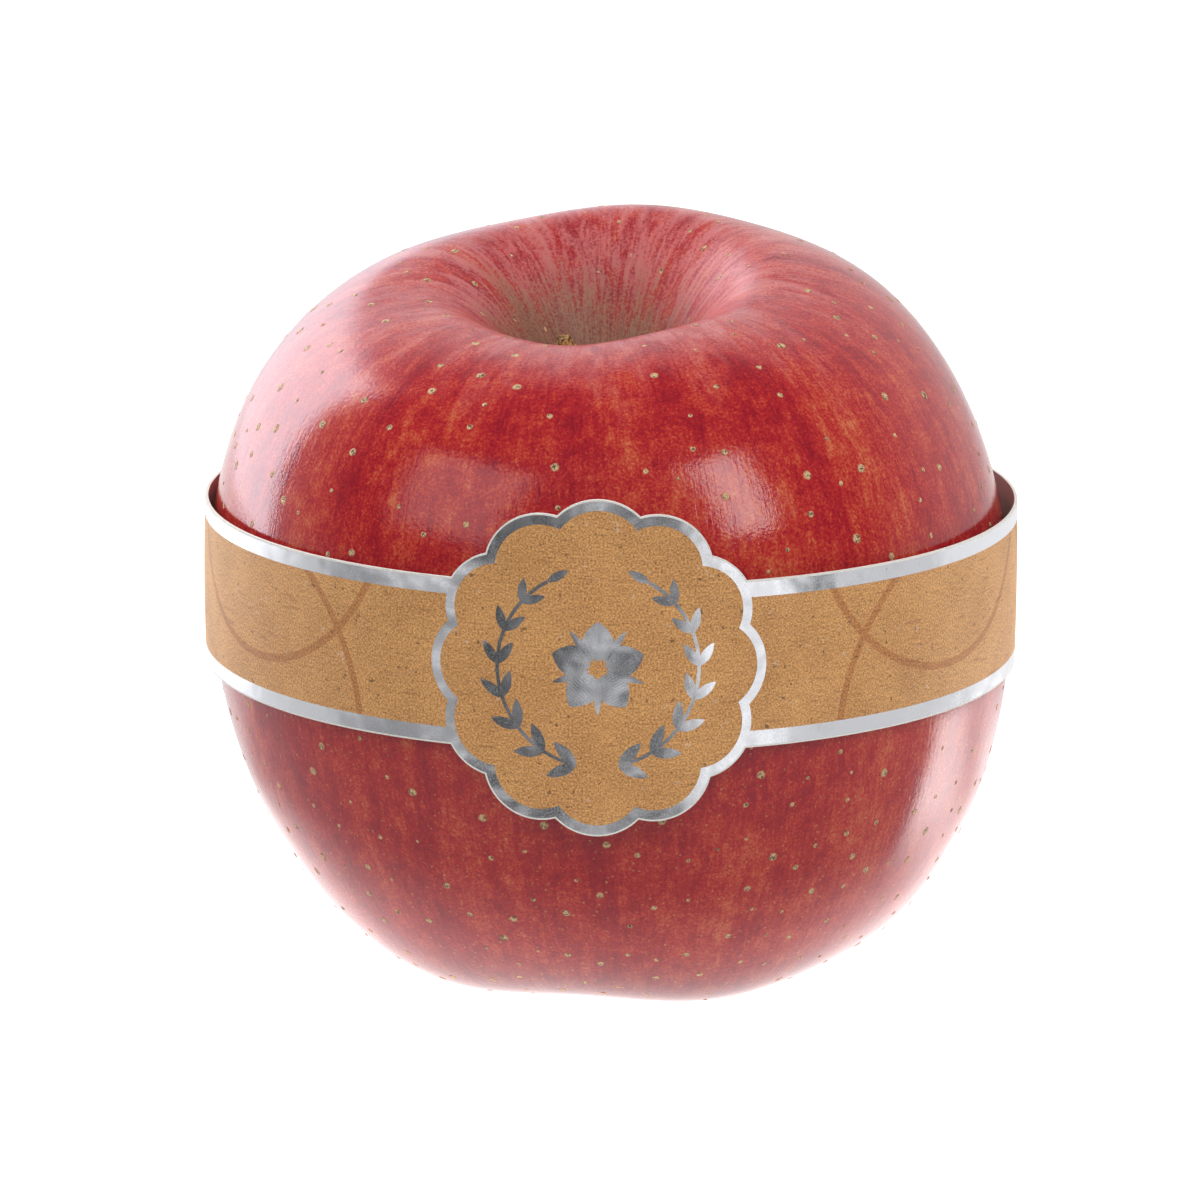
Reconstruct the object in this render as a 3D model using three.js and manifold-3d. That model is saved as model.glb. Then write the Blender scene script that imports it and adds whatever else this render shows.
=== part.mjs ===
// A large red dessert apple with a trimmed stem, wearing a printed paper band with a scalloped badge.
// Millimetres, +Z up. The apple stands on the plane z = 0 with its axis on Z, and the badge faces -Y.
import * as THREE from "three";
import { mergeVertices } from "three/addons/utils/BufferGeometryUtils.js";
import Module from "manifold-3d";

const wasm = await Module();
wasm.setup();

// Apple: the half section, as radii from the axis and heights above the ground
const APPLE_WIDTH = 96;
const EQUATOR_Z = 44;
const CREST_Z = 83.3;
const CREST_RADIUS = 21.2;
const BASE_RADIUS = 19.6;
const FOOT_WIDTH = 2.6; // breadth of the ring the apple stands on
const BASE_SINK = 0.4; // how far the base lobes are pressed flat by the apple's own weight
const CAVITY_FLOOR_Z = 65;
const BASIN_FLOOR_Z = 9.5;

// Apple: how far each curve of the half section runs straight on from its ends
const CAVITY_FLOOR_REACH = 4.5;
const CAVITY_CREST_REACH = 9.2;
const SHOULDER_CREST_REACH = 16.3;
const SHOULDER_EQUATOR_REACH = 22;
const FLANK_EQUATOR_REACH = 20.6;
const FLANK_BASE_REACH = 15.8;
const BASIN_BASE_REACH = 7;
const BASIN_FLOOR_REACH = 4;

// Apple: how it grew away from a plain turned shape
const LOBES = 5;
const LOBE_ANGLE = THREE.MathUtils.degToRad(6);
const LOBE_BULGE = 0.5;
const BASE_VALLEY = 0.9;
const CREST_VALLEY = 0.6;
const SHOULDER_LIFT = 4.2;
const SHOULDER_ANGLE = THREE.MathUtils.degToRad(72);
const TOP_LEAN = -0.033; // sideways shift for each millimetre above the equator
const CALM_RADIUS = 3; // round both ends of the axis the apple stays plainly turned
const GROWN_RADIUS = 9;

// Wells in the cavity floor and in the basin floor, which hold the stem and the calyx
const STEM_WELL_RADIUS = 1.8;
const STEM_WELL_DEPTH = 3;
const CALYX_WELL_RADIUS = 3;
const CALYX_WELL_DEPTH = 4;
const CLEARANCE = 0.3;

// Stem: a trimmed stalk that leans to the left and thickens to its cut end
const STEM_LENGTH = 13.6;
const STEM_RADIUS = 1;
const STEM_TIP_RADIUS = 1.35;
const STEM_LEAN = -4.9;

// Calyx: five dried sepals round a small plug
const SEPALS = 5;
const SEPAL_LENGTH = 6.2;
const SEPAL_WIDTH = 3.4;
const SEPAL_THICKNESS = 0.7;
const SEPAL_DROOP = THREE.MathUtils.degToRad(52);
const PLUG_LENGTH = 5;

// Paper band: a strip round the equator that widens to the badge, with its ends lapped at the back
const BAND_Z = 46.8;
const BAND_WIDTH = 19.6;
const BAND_RADIUS = APPLE_WIDTH / 2 + CLEARANCE;
const BAND_TILT = THREE.MathUtils.degToRad(0.3); // the right-hand side hangs a little lower
const BAND_TURN = THREE.MathUtils.degToRad(-1.8);
const PAPER_THICKNESS = 0.35;
const BADGE_RADIUS = 19.7;
const BADGE_LOBES = 12;
const BADGE_LOBE_RADIUS = 6.6;
const LAP_LENGTH = 14;
const LAP_RAMP = 12;
const LAP_STEP = PAPER_THICKNESS + 0.1;

// Fineness of the faceted surfaces
const APPLE_TURN_STEPS = 60;
const SECTION_STEPS = 8;
const STEM_TURN_STEPS = 12;
const BADGE_LOBE_STEPS = 8;
const BAND_STEP = 2.2;

// One closed geometry that holds positions only, with its shared corners merged
function welded(geometry) {
  geometry.deleteAttribute("normal");
  geometry.deleteAttribute("uv");
  return mergeVertices(geometry, 1e-3);
}

// Moves every corner of a geometry by a rule
function reshape(geometry, rule) {
  const corners = geometry.getAttribute("position");
  const point = new THREE.Vector3();
  for (let i = 0; i < corners.count; i++) {
    rule(point.fromBufferAttribute(corners, i));
    corners.setXYZ(i, point.x, point.y, point.z);
  }
  return geometry;
}

// A solid turned about Z from a half section drawn upwards
function turned(section, steps) {
  return welded(new THREE.LatheGeometry(section, steps).rotateX(Math.PI / 2));
}

// The apple's half section, from the calyx well round the flank to the stem well
function appleSection() {
  const equator = APPLE_WIDTH / 2;
  const footInside = BASE_RADIUS - FOOT_WIDTH / 2;
  const footOutside = BASE_RADIUS + FOOT_WIDTH / 2;
  const path = new THREE.Path();
  path.moveTo(0, BASIN_FLOOR_Z + CALYX_WELL_DEPTH);
  path.lineTo(CALYX_WELL_RADIUS, BASIN_FLOOR_Z + CALYX_WELL_DEPTH);
  path.lineTo(CALYX_WELL_RADIUS, BASIN_FLOOR_Z);
  path.bezierCurveTo(
    CALYX_WELL_RADIUS + BASIN_FLOOR_REACH, BASIN_FLOOR_Z,
    footInside - BASIN_BASE_REACH, -BASE_SINK,
    footInside, -BASE_SINK,
  );
  path.lineTo(footOutside, -BASE_SINK);
  path.bezierCurveTo(
    footOutside + FLANK_BASE_REACH, -BASE_SINK,
    equator, EQUATOR_Z - FLANK_EQUATOR_REACH,
    equator, EQUATOR_Z,
  );
  path.bezierCurveTo(
    equator, EQUATOR_Z + SHOULDER_EQUATOR_REACH,
    CREST_RADIUS + SHOULDER_CREST_REACH, CREST_Z,
    CREST_RADIUS, CREST_Z,
  );
  path.bezierCurveTo(
    CREST_RADIUS - CAVITY_CREST_REACH, CREST_Z,
    STEM_WELL_RADIUS + CAVITY_FLOOR_REACH, CAVITY_FLOOR_Z,
    STEM_WELL_RADIUS, CAVITY_FLOOR_Z,
  );
  path.lineTo(STEM_WELL_RADIUS, CAVITY_FLOOR_Z - STEM_WELL_DEPTH);
  path.lineTo(0, CAVITY_FLOOR_Z - STEM_WELL_DEPTH);
  return path.getPoints(SECTION_STEPS);
}

// How far the leaning axis stands off the Z axis at a height
function axisShift(height) {
  return TOP_LEAN * (height - EQUATOR_Z);
}

// Lobes, a high shoulder and a lean, then the base pressed flat where it meets the ground
function grow(point) {
  const angle = Math.atan2(point.y, point.x);
  const away = THREE.MathUtils.smoothstep(Math.hypot(point.x, point.y), CALM_RADIUS, GROWN_RADIUS);
  const height = point.z;
  const low = THREE.MathUtils.clamp(1 - height / EQUATOR_Z, 0, 1);
  const high = THREE.MathUtils.clamp((height - EQUATOR_Z) / (CREST_Z - EQUATOR_Z), 0, 1);
  const lobe = Math.cos(LOBES * (angle - LOBE_ANGLE));
  const valley = (1 - lobe) / 2;
  const wider = 1 + (away * LOBE_BULGE * low ** 2 * lobe) / (APPLE_WIDTH / 2);
  point.x = point.x * wider + axisShift(height);
  point.y = point.y * wider;
  point.z += away * BASE_VALLEY * low ** 4 * valley;
  point.z -= away * CREST_VALLEY * high ** 4 * valley;
  point.z += away * SHOULDER_LIFT * high ** 2 * Math.cos(angle - SHOULDER_ANGLE);
  point.z = Math.max(point.z, 0);
}

function appleGeometry() {
  return reshape(turned(appleSection(), APPLE_TURN_STEPS), grow);
}

// The stem stands in its well, bends to one side and ends in a blunt cut
function stemGeometry() {
  const section = new THREE.Path();
  section.moveTo(0, 0);
  section.lineTo(STEM_WELL_RADIUS - CLEARANCE, 0);
  section.bezierCurveTo(
    STEM_RADIUS, STEM_LENGTH * 0.25,
    STEM_RADIUS, STEM_LENGTH * 0.65,
    STEM_TIP_RADIUS, STEM_LENGTH * 0.92,
  );
  section.lineTo(STEM_TIP_RADIUS * 0.8, STEM_LENGTH);
  section.lineTo(0, STEM_LENGTH);
  const stalk = turned(section.getPoints(SECTION_STEPS), STEM_TURN_STEPS);
  const free = STEM_LENGTH - STEM_WELL_DEPTH;
  reshape(stalk, (point) => {
    point.x += STEM_LEAN * (Math.max(0, point.z - STEM_WELL_DEPTH) / free) ** 1.4;
  });
  const foot = CAVITY_FLOOR_Z - STEM_WELL_DEPTH + CLEARANCE;
  return stalk.translate(axisShift(foot), 0, foot);
}

// A geometry as a solid that can be joined to others, and back
function solidOf(geometry) {
  return new wasm.Manifold(new wasm.Mesh({
    numProp: 3,
    vertProperties: new Float32Array(geometry.getAttribute("position").array),
    triVerts: new Uint32Array(geometry.index.array),
  }));
}

function geometryOf(solid) {
  const mesh = solid.getMesh();
  const geometry = new THREE.BufferGeometry();
  geometry.setAttribute("position", new THREE.BufferAttribute(mesh.vertProperties, 3));
  geometry.setIndex(new THREE.BufferAttribute(mesh.triVerts, 1));
  return geometry;
}

// One pointed sepal, with its root at the axis, hanging outwards and down
function sepalGeometry() {
  const outline = new THREE.Shape();
  outline.moveTo(-SEPAL_WIDTH / 2, 0);
  outline.quadraticCurveTo(-SEPAL_WIDTH / 2, SEPAL_LENGTH / 2, 0, SEPAL_LENGTH);
  outline.quadraticCurveTo(SEPAL_WIDTH / 2, SEPAL_LENGTH / 2, SEPAL_WIDTH / 2, 0);
  outline.closePath();
  const blade = new THREE.ExtrudeGeometry(outline, {
    depth: SEPAL_THICKNESS,
    curveSegments: 4,
    bevelEnabled: false,
  });
  return welded(blade.translate(0, 0, -SEPAL_THICKNESS / 2).rotateX(-SEPAL_DROOP));
}

// The plug fills the calyx well and the sepals spring from its lower end
function calyxGeometry() {
  const radius = CALYX_WELL_RADIUS - CLEARANCE;
  const plug = turned([
    new THREE.Vector2(0, -PLUG_LENGTH),
    new THREE.Vector2(radius * 0.6, -PLUG_LENGTH),
    new THREE.Vector2(radius, -PLUG_LENGTH * 0.6),
    new THREE.Vector2(radius, 0),
    new THREE.Vector2(0, 0),
  ], STEM_TURN_STEPS);
  let solid = solidOf(plug);
  for (let i = 0; i < SEPALS; i++) {
    const sepal = sepalGeometry().translate(0, radius * 0.35, -PLUG_LENGTH * 0.9);
    solid = solid.add(solidOf(sepal.rotateZ((2 * Math.PI * i) / SEPALS)));
  }
  const head = BASIN_FLOOR_Z + CALYX_WELL_DEPTH - CLEARANCE;
  return geometryOf(solid).translate(axisShift(head), 0, head);
}

// The flat strip's columns from end to end: place along the strip, and half its width there
function bandColumns() {
  const half = BAND_WIDTH / 2;
  const end = Math.PI * BAND_RADIUS + LAP_LENGTH / 2;
  const pitch = (2 * Math.PI) / BADGE_LOBES;
  const ring = BADGE_RADIUS - BADGE_LOBE_RADIUS;
  const drop = half - ring * Math.sin(pitch);
  const joint = ring * Math.cos(pitch) + Math.sqrt(BADGE_LOBE_RADIUS ** 2 - drop ** 2);
  const steps = Math.ceil((end - joint) / BAND_STEP);
  const right = [];
  for (let i = 1; i < (BADGE_LOBES / 4) * BADGE_LOBE_STEPS; i++) {
    const angle = Math.PI / 2 - (i * pitch) / BADGE_LOBE_STEPS;
    const off = angle - pitch * Math.round(angle / pitch);
    const bulge = Math.sqrt(BADGE_LOBE_RADIUS ** 2 - (ring * Math.sin(off)) ** 2);
    const radius = ring * Math.cos(off) + bulge;
    const place = new THREE.Vector2(radius * Math.cos(angle), radius * Math.sin(angle));
    if (place.y > half) right.push(place);
  }
  for (let i = 0; i <= steps; i++) {
    right.push(new THREE.Vector2(joint + ((end - joint) * i) / steps, half));
  }
  const left = right.map((place) => new THREE.Vector2(-place.x, place.y)).reverse();
  return [...left, new THREE.Vector2(0, BADGE_RADIUS), ...right];
}

// A box with one slice for each column, bent round the apple; the right-hand end laps over the left
function bandGeometry() {
  const columns = bandColumns();
  const slices = columns.length - 1;
  const lap = Math.PI * BAND_RADIUS - LAP_LENGTH / 2;
  const strip = welded(new THREE.BoxGeometry(1, 1, 1, slices, 1, 1));
  reshape(strip, (point) => {
    const column = columns[Math.round((point.x + 0.5) * slices)];
    const lift = LAP_STEP * THREE.MathUtils.smoothstep(column.x, lap - LAP_RAMP, lap);
    const radius = BAND_RADIUS + lift + (point.z + 0.5) * PAPER_THICKNESS;
    const angle = column.x / BAND_RADIUS;
    point.set(radius * Math.sin(angle), -radius * Math.cos(angle), 2 * point.y * column.y);
  });
  return strip.rotateZ(BAND_TURN).rotateY(BAND_TILT).translate(0, 0, BAND_Z);
}

function piece(name, colour, roughness, geometry) {
  const finish = new THREE.MeshStandardMaterial({ color: colour, roughness });
  finish.name = `${name}_finish`;
  const mesh = new THREE.Mesh(geometry, finish);
  mesh.name = name;
  return mesh;
}

const group = new THREE.Group();
group.name = "red_apple";
group.add(piece("apple", 0xb03535, 0.35, appleGeometry()));
group.add(piece("stem", 0x8a6236, 0.85, stemGeometry()));
group.add(piece("calyx", 0x5b4630, 0.9, calyxGeometry()));
group.add(piece("paper_band", 0xb2865c, 0.7, bandGeometry()));

export default group;
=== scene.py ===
# Red apple in a paper band: the looks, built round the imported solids
from math import asin, atan2, cos, pi, radians, sin, sqrt
import bmesh
import bpy
from mathutils import Matrix, Vector


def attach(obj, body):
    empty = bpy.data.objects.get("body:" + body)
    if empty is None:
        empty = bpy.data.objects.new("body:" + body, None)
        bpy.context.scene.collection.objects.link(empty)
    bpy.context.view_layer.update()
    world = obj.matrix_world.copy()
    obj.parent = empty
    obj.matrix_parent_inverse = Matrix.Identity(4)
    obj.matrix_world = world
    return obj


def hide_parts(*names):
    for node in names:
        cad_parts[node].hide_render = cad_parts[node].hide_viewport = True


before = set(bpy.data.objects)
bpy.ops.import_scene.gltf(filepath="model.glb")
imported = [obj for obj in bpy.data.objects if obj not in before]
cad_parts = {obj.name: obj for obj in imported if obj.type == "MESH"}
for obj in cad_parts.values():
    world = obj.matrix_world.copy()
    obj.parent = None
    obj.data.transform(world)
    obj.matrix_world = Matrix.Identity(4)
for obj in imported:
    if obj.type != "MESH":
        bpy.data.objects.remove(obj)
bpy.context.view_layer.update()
mm = 0.001
fullTurn = 2 * pi
print("frame loaded:", sorted(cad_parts))


# small helpers for node trees

class Wire:
    # a node's output that can be used in formulas
    def __init__(self, tree, socket):
        self.tree = tree
        self.socket = socket

    def __add__(self, other):
        return calc("ADD", self, other)

    def __sub__(self, other):
        return calc("SUBTRACT", self, other)

    def __rsub__(self, other):
        return calc("SUBTRACT", other, self)

    def __mul__(self, other):
        return calc("MULTIPLY", self, other)

    def __truediv__(self, other):
        return calc("DIVIDE", self, other)

    def __pow__(self, other):
        return calc("POWER", self, other)


def treeOf(*values):
    return next(value.tree for value in values if isinstance(value, Wire))


def feed(tree, socket, value):
    if isinstance(value, Wire):
        value = value.socket
    if isinstance(value, bpy.types.Node):
        value = value.outputs[0]
    if isinstance(value, bpy.types.NodeSocket):
        tree.links.new(value, socket)
    elif socket.type == "RGBA":
        socket.default_value = (*value, 1.0)
    else:
        socket.default_value = value


def addNode(tree, kind, sockets=None, **settings):
    node = tree.nodes.new(kind)
    for key, value in settings.items():
        setattr(node, key, value)
    for key, value in (sockets or {}).items():
        feed(tree, node.inputs[key], value)
    return node


def output(tree, kind, sockets=None, key=0, **settings):
    return Wire(tree, addNode(tree, kind, sockets, **settings).outputs[key])


def wires(tree, node):
    return [Wire(tree, socket) for socket in node.outputs]


def calc(operation, *values, clamp=False):
    sockets = dict(enumerate(values))
    return output(treeOf(*values), "ShaderNodeMath", sockets, operation=operation, use_clamp=clamp)


def vectorCalc(operation, *values):
    key = "Value" if operation in ("LENGTH", "DISTANCE", "DOT_PRODUCT") else "Vector"
    return output(treeOf(*values), "ShaderNodeVectorMath", dict(enumerate(values)), key, operation=operation)


def combine(x, y, z):
    return output(treeOf(x, y, z), "ShaderNodeCombineXYZ", {0: x, 1: y, 2: z})


def even(value):
    return combine(value, value, value)


def separate(vector):
    return wires(vector.tree, addNode(vector.tree, "ShaderNodeSeparateXYZ", {0: vector}))


def ramp(value, low, high, toLow=0.0, toHigh=1.0, smooth=True):
    sockets = dict(enumerate((value, low, high, toLow, toHigh)))
    way = "SMOOTHSTEP" if smooth else "LINEAR"
    return output(value.tree, "ShaderNodeMapRange", sockets, interpolation_type=way)


def noise(vector, scale, detail=2.0, rough=0.5, distort=0.0, key=0):
    return output(vector.tree, "ShaderNodeTexNoise", {
        "Vector": vector, "Scale": scale, "Detail": detail, "Roughness": rough, "Distortion": distort}, key)


def weigh(base, *parts):
    # a base value plus each noise's swing about its middle
    for value, weight in parts:
        base = (value - 0.5) * weight + base
    return base


def addSockets(tree, way, **kinds):
    for name, kind in kinds.items():
        tree.interface.new_socket(name, in_out=way, socket_type="NodeSocket" + kind)


# small helpers for finishes

def blend(factor, first, second, mode="MIX"):
    tree = treeOf(factor, first, second)
    sockets = {0: factor, 6: first, 7: second}
    return output(tree, "ShaderNodeMix", sockets, 2, data_type="RGBA", blend_type=mode)


def toneRamp(tone, tones):
    node = addNode(tone.tree, "ShaderNodeValToRGB", {0: tone})
    stops = node.color_ramp.elements
    for k, (position, colour) in enumerate(tones):
        stop = stops[k] if k < 2 else stops.new(position)
        stop.position = position
        stop.color = (*colour, 1.0)
    return Wire(tone.tree, node.outputs[0])


def newShader(name):
    material = bpy.data.materials.new(name)
    material.use_nodes = True
    return material, material.node_tree


def objectPlace(tree):
    return output(tree, "ShaderNodeTexCoord", key="Object")


def setShader(material, sockets):
    tree = material.node_tree
    for key, value in sockets.items():
        feed(tree, tree.nodes["Principled BSDF"].inputs[key], value)
    return material


def dress(material, colour, roughness, height, depth, **others):
    # colour, gloss and relief of one finish
    sockets = {"Height": height, "Distance": depth, "Strength": 1.0}
    relief = addNode(material.node_tree, "ShaderNodeBump", sockets)
    return setShader(material, {"Base Color": colour, "Roughness": roughness, "Normal": relief, **others})


# small helpers for geometry trees and meshes

def meshPiece(name, mesh):
    piece = bpy.data.objects.new(name, mesh)
    bpy.context.scene.collection.objects.link(piece)
    return piece


def runTree(name, data, grow, sizes, finish, smooth=True):
    # one piece: its tree gets the single numbers as inputs, runs on the data and leaves a plain mesh
    tree = bpy.data.node_groups.new(name + "Tree", "GeometryNodeTree")
    sizes = {key: value for key, value in sizes.items() if isinstance(value, (int, float))}
    kinds = {key: "Int" if isinstance(value, int) else "Float" for key, value in sizes.items()}
    addSockets(tree, "OUTPUT", Geometry="Geometry")
    addSockets(tree, "INPUT", Geometry="Geometry", Finish="Material", **kinds)
    size = {wire.socket.name: wire for wire in wires(tree, addNode(tree, "NodeGroupInput"))}
    loose = addNode(tree, "GeometryNodeRealizeInstances", {0: grow(tree, size)})
    shade = addNode(tree, "GeometryNodeSetShadeSmooth", {"Geometry": loose, "Shade Smooth": smooth})
    paint = addNode(tree, "GeometryNodeSetMaterial", {"Geometry": shade, "Material": size["Finish"]})
    addNode(tree, "NodeGroupOutput", {0: paint})
    maker = meshPiece(name + "Maker", data)
    modifier = maker.modifiers.new("tree", "NODES")
    modifier.node_group = tree
    values = {"Finish": finish, **sizes}
    for socket in tree.interface.items_tree:
        if socket.name in values:
            modifier[socket.identifier] = values[socket.name]
    graph = bpy.context.evaluated_depsgraph_get()
    mesh = bpy.data.meshes.new_from_object(maker.evaluated_get(graph), depsgraph=graph)
    bpy.data.objects.remove(maker)
    mesh.name = name
    return meshPiece(name, mesh)


def readPosition(tree):
    return output(tree, "GeometryNodeInputPosition")


def store(geometry, name, kind, value):
    sockets = {"Geometry": geometry, "Name": name, "Value": value}
    return addNode(value.tree, "GeometryNodeStoreNamedAttribute", sockets, data_type=kind, domain="POINT")


def move(geometry, key, value):
    return addNode(value.tree, "GeometryNodeSetPosition", {"Geometry": geometry, key: value})


def pushOut(geometry, amount):
    normal = output(amount.tree, "GeometryNodeInputNormal")
    return move(geometry, "Offset", vectorCalc("MULTIPLY", normal, even(amount)))


def circle(tree, sides, radius):
    sockets = {"Resolution": sides, "Radius": radius}
    return addNode(tree, "GeometryNodeCurvePrimitiveCircle", sockets, mode="RADIUS")


def tube(tree, path, profile, scale=1.0):
    return addNode(tree, "GeometryNodeCurveToMesh", {
        "Curve": path, "Profile Curve": profile, "Scale": scale, "Fill Caps": True})


def polar(radius, angle):
    return combine(radius * calc("COSINE", angle), radius * calc("SINE", angle), 0.0)


def scatter(item, count, place, turn, scale):
    tree = place.tree
    points = addNode(tree, "GeometryNodePoints", {"Count": count, "Position": place})
    rotation = addNode(tree, "FunctionNodeEulerToRotation", {0: turn})
    return addNode(tree, "GeometryNodeInstanceOnPoints", {
        "Points": points, "Instance": item, "Rotation": rotation, "Scale": scale})


def randomValue(tree, low, high, seed):
    sockets = {2: low, 3: high, "Seed": seed}
    return output(tree, "FunctionNodeRandomValue", sockets, 1, data_type="FLOAT")


def closeSheet(shape, upper, under, ring=False):
    # faces of one closed sheet between two grids of points: above, below and the rim
    groups = ([], [], [])
    lines = len(upper)
    last = len(upper[0]) - 1

    def face(group, *points):
        corners = list(dict.fromkeys(points))
        if len(corners) > 2:
            made = shape.faces.new(corners)
            made.smooth = group < 2
            groups[group].append(made)

    for i in range(lines if ring else lines - 1):
        k = (i + 1) % lines
        for j in range(last):
            face(0, upper[i][j], upper[k][j], upper[k][j + 1], upper[i][j + 1])
            face(1, under[i][j], under[i][j + 1], under[k][j + 1], under[k][j])
        face(2, upper[i][last], upper[k][last], under[k][last], under[i][last])
        face(2, upper[k][0], upper[i][0], under[i][0], under[k][0])
    for j in range(0 if ring else last):
        face(2, upper[0][j + 1], under[0][j + 1], under[0][j], upper[0][j])
        face(2, upper[-1][j], under[-1][j], under[-1][j + 1], upper[-1][j + 1])
    return groups


def sharpRims(shape):
    # smooth sheets keep their own normals up to the flat walls round them
    for edge in shape.edges:
        edge.smooth = all(face.smooth for face in edge.link_faces)


def bakeMesh(name, shape, *finishes):
    mesh = bpy.data.meshes.new(name)
    shape.to_mesh(mesh)
    shape.free()
    for finish in finishes:
        mesh.materials.append(finish)
    return mesh


# shared finish

def makeFibre():
    # fine grain with dark and pale flecks, for cork, paper, stalk and sepals
    group = bpy.data.node_groups.new("fibre", "ShaderNodeTree")
    addSockets(group, "INPUT", Vector="Vector", Grain="Float", Fleck="Float")
    addSockets(group, "OUTPUT", Grain="Float", Dark="Float", Pale="Float")
    vector, grainSize, fleckSize = wires(group, addNode(group, "NodeGroupInput"))[:3]
    dark = ramp(noise(vector, fleckSize, 2.0, 0.6), 0.655, 0.72)
    pale = ramp(separate(noise(vector, fleckSize, 2.0, 0.6, key=1))[1], 0.66, 0.76)
    addNode(group, "NodeGroupOutput", {
        "Grain": noise(vector, grainSize, 4.0, 0.65), "Dark": dark, "Pale": pale})
    return group


fibre = makeFibre()


def fibreOn(vector, grain, fleck):
    sockets = {"Vector": vector, "Grain": grain, "Fleck": fleck}
    return wires(vector.tree, addNode(vector.tree, "ShaderNodeGroup", sockets, node_tree=fibre))


# apple skin

skinLook = {   # ground colours from the deepest red to the palest streak
    "tones": (
        (0.26, (0.24, 0.007, 0.018)),
        (0.44, (0.37, 0.012, 0.020)),
        (0.54, (0.45, 0.024, 0.022)),
        (0.66, (0.51, 0.062, 0.032)),
        (0.84, (0.60, 0.170, 0.070)),
    ),
    "lowTones": (
        (0.26, (0.26, 0.006, 0.016)),
        (0.46, (0.38, 0.014, 0.019)),
        (0.60, (0.49, 0.040, 0.026)),
        (0.84, (0.60, 0.145, 0.068)),
    ),
    # painted shade: multiplied over the skin to darken the foot
    "footShade": (0.50, 0.85, 0.92),
    "bloom": (0.58, 0.215, 0.215),
    "straw": (0.60, 0.330, 0.130),
    "wall": (0.64, 0.125, 0.130),
    "khaki": (0.31, 0.165, 0.085),
    "khakiDark": (0.125, 0.048, 0.030),
    "russet": (0.11, 0.062, 0.028),
    "roughness": 0.11,
    "poreScale": 1250.0,
    "relief": 0.12 * mm,
}


def makeSkin():
    look = skinLook
    material, tree = newShader("appleSkin")
    place = objectPlace(tree)
    grain = output(tree, "ShaderNodeAttribute", key="Vector", attribute_name="skinGrain")
    side, none, along = separate(grain)

    def streaks(across, up, detail, distort):
        return noise(vectorCalc("MULTIPLY", grain, (across, across, up)), 1.0, detail, 0.6, distort)

    # streaks run up the fruit, over mottling and a fine grain
    broad = streaks(5.0, 6.0, 2.0, 0.6)
    streak = streaks(24.0, 13.0, 3.0, 1.2)
    fine = streaks(70.0, 34.0, 3.0, 0.8)
    hair = streaks(95.0, 26.0, 3.0, 0.9)
    flow = streaks(9.0, 20.0, 4.0, 1.4)
    mottle = noise(place, 420.0, 4.0, 0.7)
    powder = noise(place, 3000.0, 3.0, 0.75)
    peel = noise(place, 2300.0, 1.5)
    tone = weigh(0.5, (broad, 0.5), (streak, 0.38), (fine, 0.3), (mottle, 0.6), (powder, 0.95))
    # duller below and paler to the right there, painted shade darkening the foot, straw in the basin
    low = ramp(weigh(along, (broad, 0.2), (mottle, 0.2)), 0.5, 0.3)
    tone = side * ramp(low, 0.0, 1.0, 0.005, 0.06, smooth=False) + tone
    colour = blend(low, toneRamp(tone, look["tones"]), toneRamp(tone, look["lowTones"]))
    colour = blend(ramp(along, 0.29, 0.20), colour, look["footShade"], "MULTIPLY")
    basin = ramp(weigh(along, (streak, 0.1)), 0.14, 0.05)
    colour = blend(basin * 0.8, colour, look["straw"])
    # pale hairs over the shoulder, a rosy wall, khaki and russet down in the stem cavity
    top = ramp(weigh(along, (broad, 0.16)), 0.70, 0.86)
    rays = ramp(weigh(flow, (streak, 0.3), (powder, 0.6)), 0.34, 0.74)
    colour = blend(rays * top * 0.7, colour, look["bloom"])
    wall = ramp(weigh(flow, (streak, 0.5), (powder, 0.9)), 0.4, 0.68, 0.0, 0.42)
    wall = wall * ramp(along, 0.825, 0.855) * ramp(along, 0.91, 0.87)
    colour = blend(wall, colour, look["wall"])
    deep = weigh(along, (broad, 0.06), (flow, 0.06), (streak, 0.05), (fine, 0.04), (powder, 0.14))
    deep = deep - side * 0.02
    dusty = ramp(weigh(fine, (powder, 1.3), (streak, 0.5)), 0.25, 0.75)
    dusty = blend(dusty, look["khakiDark"], look["khaki"])
    colour = blend(ramp(deep, 0.872, 0.93, 0.0, 0.88), colour, dusty)
    colour = blend(ramp(deep, 0.93, 1.0, 0.0, 0.9), colour, look["russet"])
    # pores: pale pin points, more of them below
    sockets = {"Vector": place, "Scale": look["poreScale"]}
    pore = ramp(output(tree, "ShaderNodeTexVoronoi", sockets, "Distance", feature="F1"), 0.26, 0.1)
    pore = pore * ramp(peel, 0.46, 0.62) * ramp(along, 0.62, 0.3, 0.1, 0.6)
    colour = blend(pore, colour, look["straw"])
    # waxy, duller in the cavity; the peel's relief is combed up the fruit
    wax = weigh(look["roughness"], (mottle, 0.08), (powder, 0.1)) + ramp(along, 0.76, 0.90, 0.0, 0.42)
    combed = hair * ramp(along, 0.74, 0.86, 0.14, 0.03)
    relief = weigh(combed, (mottle, 0.10), (peel, 0.14), (powder, 0.06))
    return dress(material, colour, wax, relief, look["relief"])


# cork of the lenticels

corkLook = {
    "crack": (0.080, 0.045, 0.022),
    "cork": (0.46, 0.250, 0.095),
    "corkPale": (0.80, 0.600, 0.340),
    "rim": (0.40, 0.060, 0.030),
    "grain": (7000.0, 2600.0),
    "roughness": 0.6,
    "relief": 0.06 * mm,
}


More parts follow.
